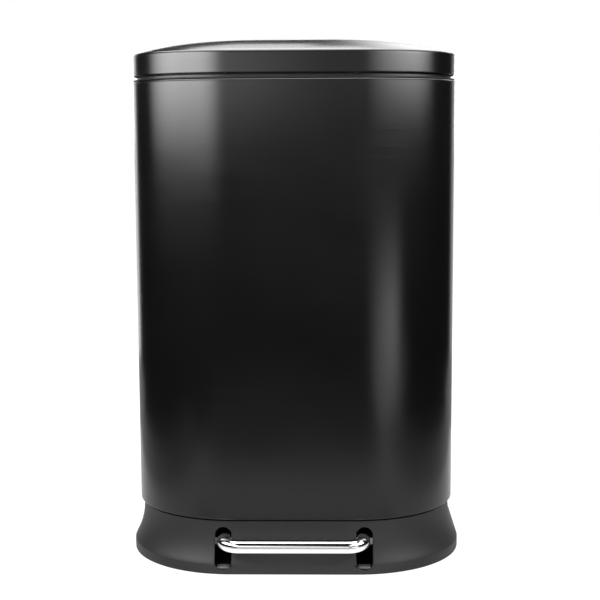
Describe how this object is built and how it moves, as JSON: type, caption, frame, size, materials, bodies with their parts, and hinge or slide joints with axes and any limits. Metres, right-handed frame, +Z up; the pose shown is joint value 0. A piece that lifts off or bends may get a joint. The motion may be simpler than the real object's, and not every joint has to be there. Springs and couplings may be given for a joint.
{
  "type": "pedal trash can",
  "caption": "Step-on waste bin: D-shaped steel body on a flared base, inner bucket, domed lid lifted through a lever and rod by a tube pedal",
  "frame": {"origin": "under the middle of the whole bin, pedal bar and hinge housing included, on the surface that its rubber feet stand on", "axes": "+Z up, the pedal and the front face -Y, +X to the right of a person who faces the front"},
  "size_m": [0.416, 0.375, 0.6425],
  "materials": {
    "black_steel": "satin black powder coat with a fine grain",
    "black_plastic": "satin moulded black plastic",
    "dark_plastic": "glass-filled grey-black plastic",
    "bucket_plastic": "matt moulded charcoal plastic",
    "chrome_tube": "bright chrome plate",
    "zinc_sheet": "zinc-plated sheet",
    "screw_steel": "zinc-plated screws",
    "bright_steel": "drawn and polished steel",
    "spring_steel": "blued spring steel",
    "dark_steel": "black oxide tube",
    "nylon": "natural nylon",
    "rubber": "moulded rubber",
    "soft_grey": "soft grey bumper rubber"
  },
  "bodies": {
    "can": {"body_shell": "black_steel", "body_floor": "zinc_sheet", "top_ring": "black_plastic", "base_skirt": "black_plastic", "base_plate": "black_plastic", "base_screws": "screw_steel", "floor_screws": "screw_steel", "rubber_feet": "rubber", "pivot_blocks": "dark_plastic", "pivot_screws": "screw_steel", "axle_bushes": "nylon", "hinge_housing": "black_plastic", "hinge_backplate": "zinc_sheet", "hinge_screws": "screw_steel", "hinge_pin": "bright_steel", "hinge_pin_caps": "black_plastic", "rod_bush": "nylon", "damper_bracket": "dark_plastic", "damper_screws": "screw_steel", "damper_tube": "dark_steel", "damper_cap": "black_plastic", "inner_bucket": "bucket_plastic"},
    "lid": {"lid_cover": "black_steel", "lid_liner": "black_plastic", "hinge_leaf": "zinc_sheet", "leaf_screws": "screw_steel", "crank_pin": "bright_steel", "lid_bumpers": "soft_grey"},
    "lift": {"lift_rod": "bright_steel", "rod_head": "dark_plastic", "rod_foot": "dark_plastic", "damper_piston": "bright_steel", "damper_arm": "dark_plastic", "damper_nut": "screw_steel", "arm_screw": "screw_steel"},
    "pedal": {"pedal_bar": "chrome_tube", "pedal_plugs": "black_plastic", "pedal_lever": "zinc_sheet", "pedal_screws": "screw_steel", "pedal_axle": "bright_steel", "axle_clips": "spring_steel", "lift_pin": "bright_steel", "lift_pin_clips": "spring_steel"}
  },
  "joints": [
    {"name": "lid_hinge", "type": "hinge", "parent": "can", "child": "lid", "pos_m": [0, 0.1745, 0.605], "axis": [-1, 0, 0], "range_deg": [0, 75]},
    {"name": "lift_slide", "type": "slide", "parent": "can", "child": "lift", "axis": [0, 0, 1], "range_m": [0, 0.0317]},
    {"name": "pedal_press", "type": "hinge", "parent": "can", "child": "pedal", "pos_m": [0, -0.0215, 0.033], "axis": [1, 0, 0], "range_deg": [0, 10.88]}
  ],
  "couplings": [
    {"joint": "lift_slide", "follows": "lid_hinge", "m_per_rad": 0.024169},
    {"joint": "pedal_press", "follows": "lid_hinge", "ratio": 0.14488}
  ]
}
